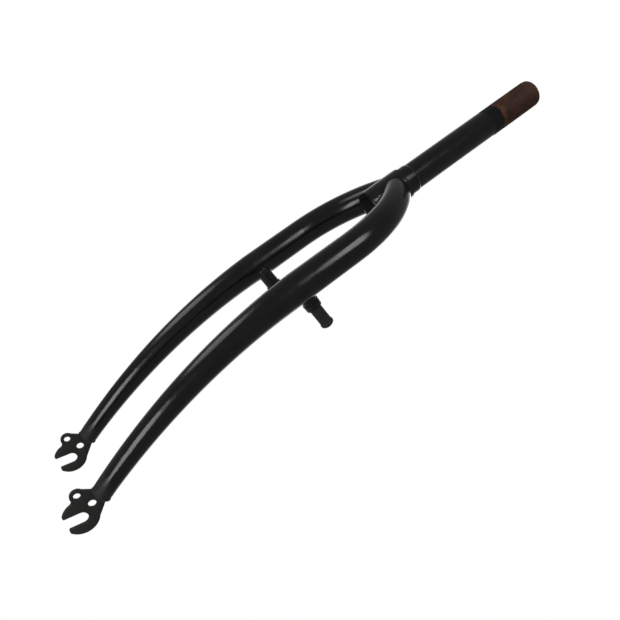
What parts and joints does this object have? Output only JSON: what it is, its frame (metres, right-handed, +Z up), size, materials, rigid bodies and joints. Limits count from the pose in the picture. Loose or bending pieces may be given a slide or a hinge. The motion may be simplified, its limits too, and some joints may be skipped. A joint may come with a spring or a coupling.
{
  "type": "mountain bike fork",
  "caption": "Rigid welded steel bicycle fork with a threaded steerer, curved crown, raked tapering blades, slotted dropouts and capped rim brake studs.",
  "frame": {"origin": "on the steerer's axis, at the shoulder under the crown race", "axes": "+Z up the steerer, -Y forward along the bike, +X to the rider's left"},
  "size_m": [0.1342, 0.0798, 0.6036],
  "materials": {
    "black_paint": "gloss black paint, with bare brown threads at the top of the steerer",
    "cap_plastic": "black moulded plastic"
  },
  "bodies": {
    "root": {"steerer_tube": "black_paint", "right_blade": "black_paint", "right_dropout": "black_paint", "right_tip_fill": "black_paint", "right_brake_boss": "black_paint", "right_stud_cap": "cap_plastic", "right_boss_weld": "black_paint", "right_crown_weld": "black_paint", "left_blade": "black_paint", "left_dropout": "black_paint", "left_tip_fill": "black_paint", "left_brake_boss": "black_paint", "left_stud_cap": "cap_plastic", "left_boss_weld": "black_paint", "left_crown_weld": "black_paint"}
  },
  "joints": []
}
